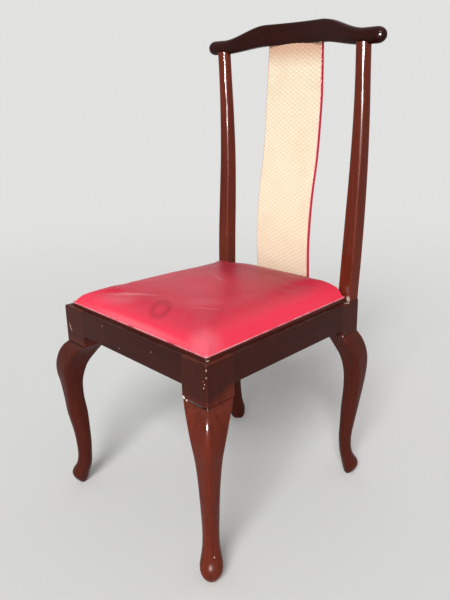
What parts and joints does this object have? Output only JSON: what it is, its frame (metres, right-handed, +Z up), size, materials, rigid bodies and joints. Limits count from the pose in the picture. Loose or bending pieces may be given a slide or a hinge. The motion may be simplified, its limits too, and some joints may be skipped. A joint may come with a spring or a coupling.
{
  "type": "dining chair",
  "caption": "Worn wooden dining chair with a yoke-shaped crest rail, an upholstered centre splat, a drop-in seat and curved cabriole legs.",
  "frame": {"origin": "on the floor, under the middle of the chair", "axes": "+Z up, -Y the way the front of the chair looks, +X to the right of someone who faces the front"},
  "size_m": [0.5288, 0.5412, 1.031],
  "materials": {
    "mahogany_finish": "gloss",
    "plain_wood": "matte",
    "plywood": "matte",
    "red_vinyl": "satin",
    "cream_fabric": "matte",
    "foam": "matte",
    "dust_cloth": "matte",
    "steel": "satin"
  },
  "bodies": {
    "root": {"leg_front_left": "mahogany_finish", "leg_front_right": "mahogany_finish", "leg_rear_left": "mahogany_finish", "leg_rear_right": "mahogany_finish", "rail_front": "mahogany_finish", "rail_rear": "mahogany_finish", "rail_left": "mahogany_finish", "rail_right": "mahogany_finish", "crest_rail": "mahogany_finish", "splat_board": "plywood", "splat_foam": "foam", "splat_fabric": "cream_fabric", "splat_vinyl": "red_vinyl", "seat_board": "plywood", "seat_foam": "foam", "seat_cover": "red_vinyl", "seat_dust_cover": "dust_cloth", "seat_staples": "steel", "block_front_left": "plain_wood", "block_front_right": "plain_wood", "block_rear_left": "plain_wood", "block_rear_right": "plain_wood", "block_screws": "steel", "seat_screws": "steel"}
  },
  "joints": []
}
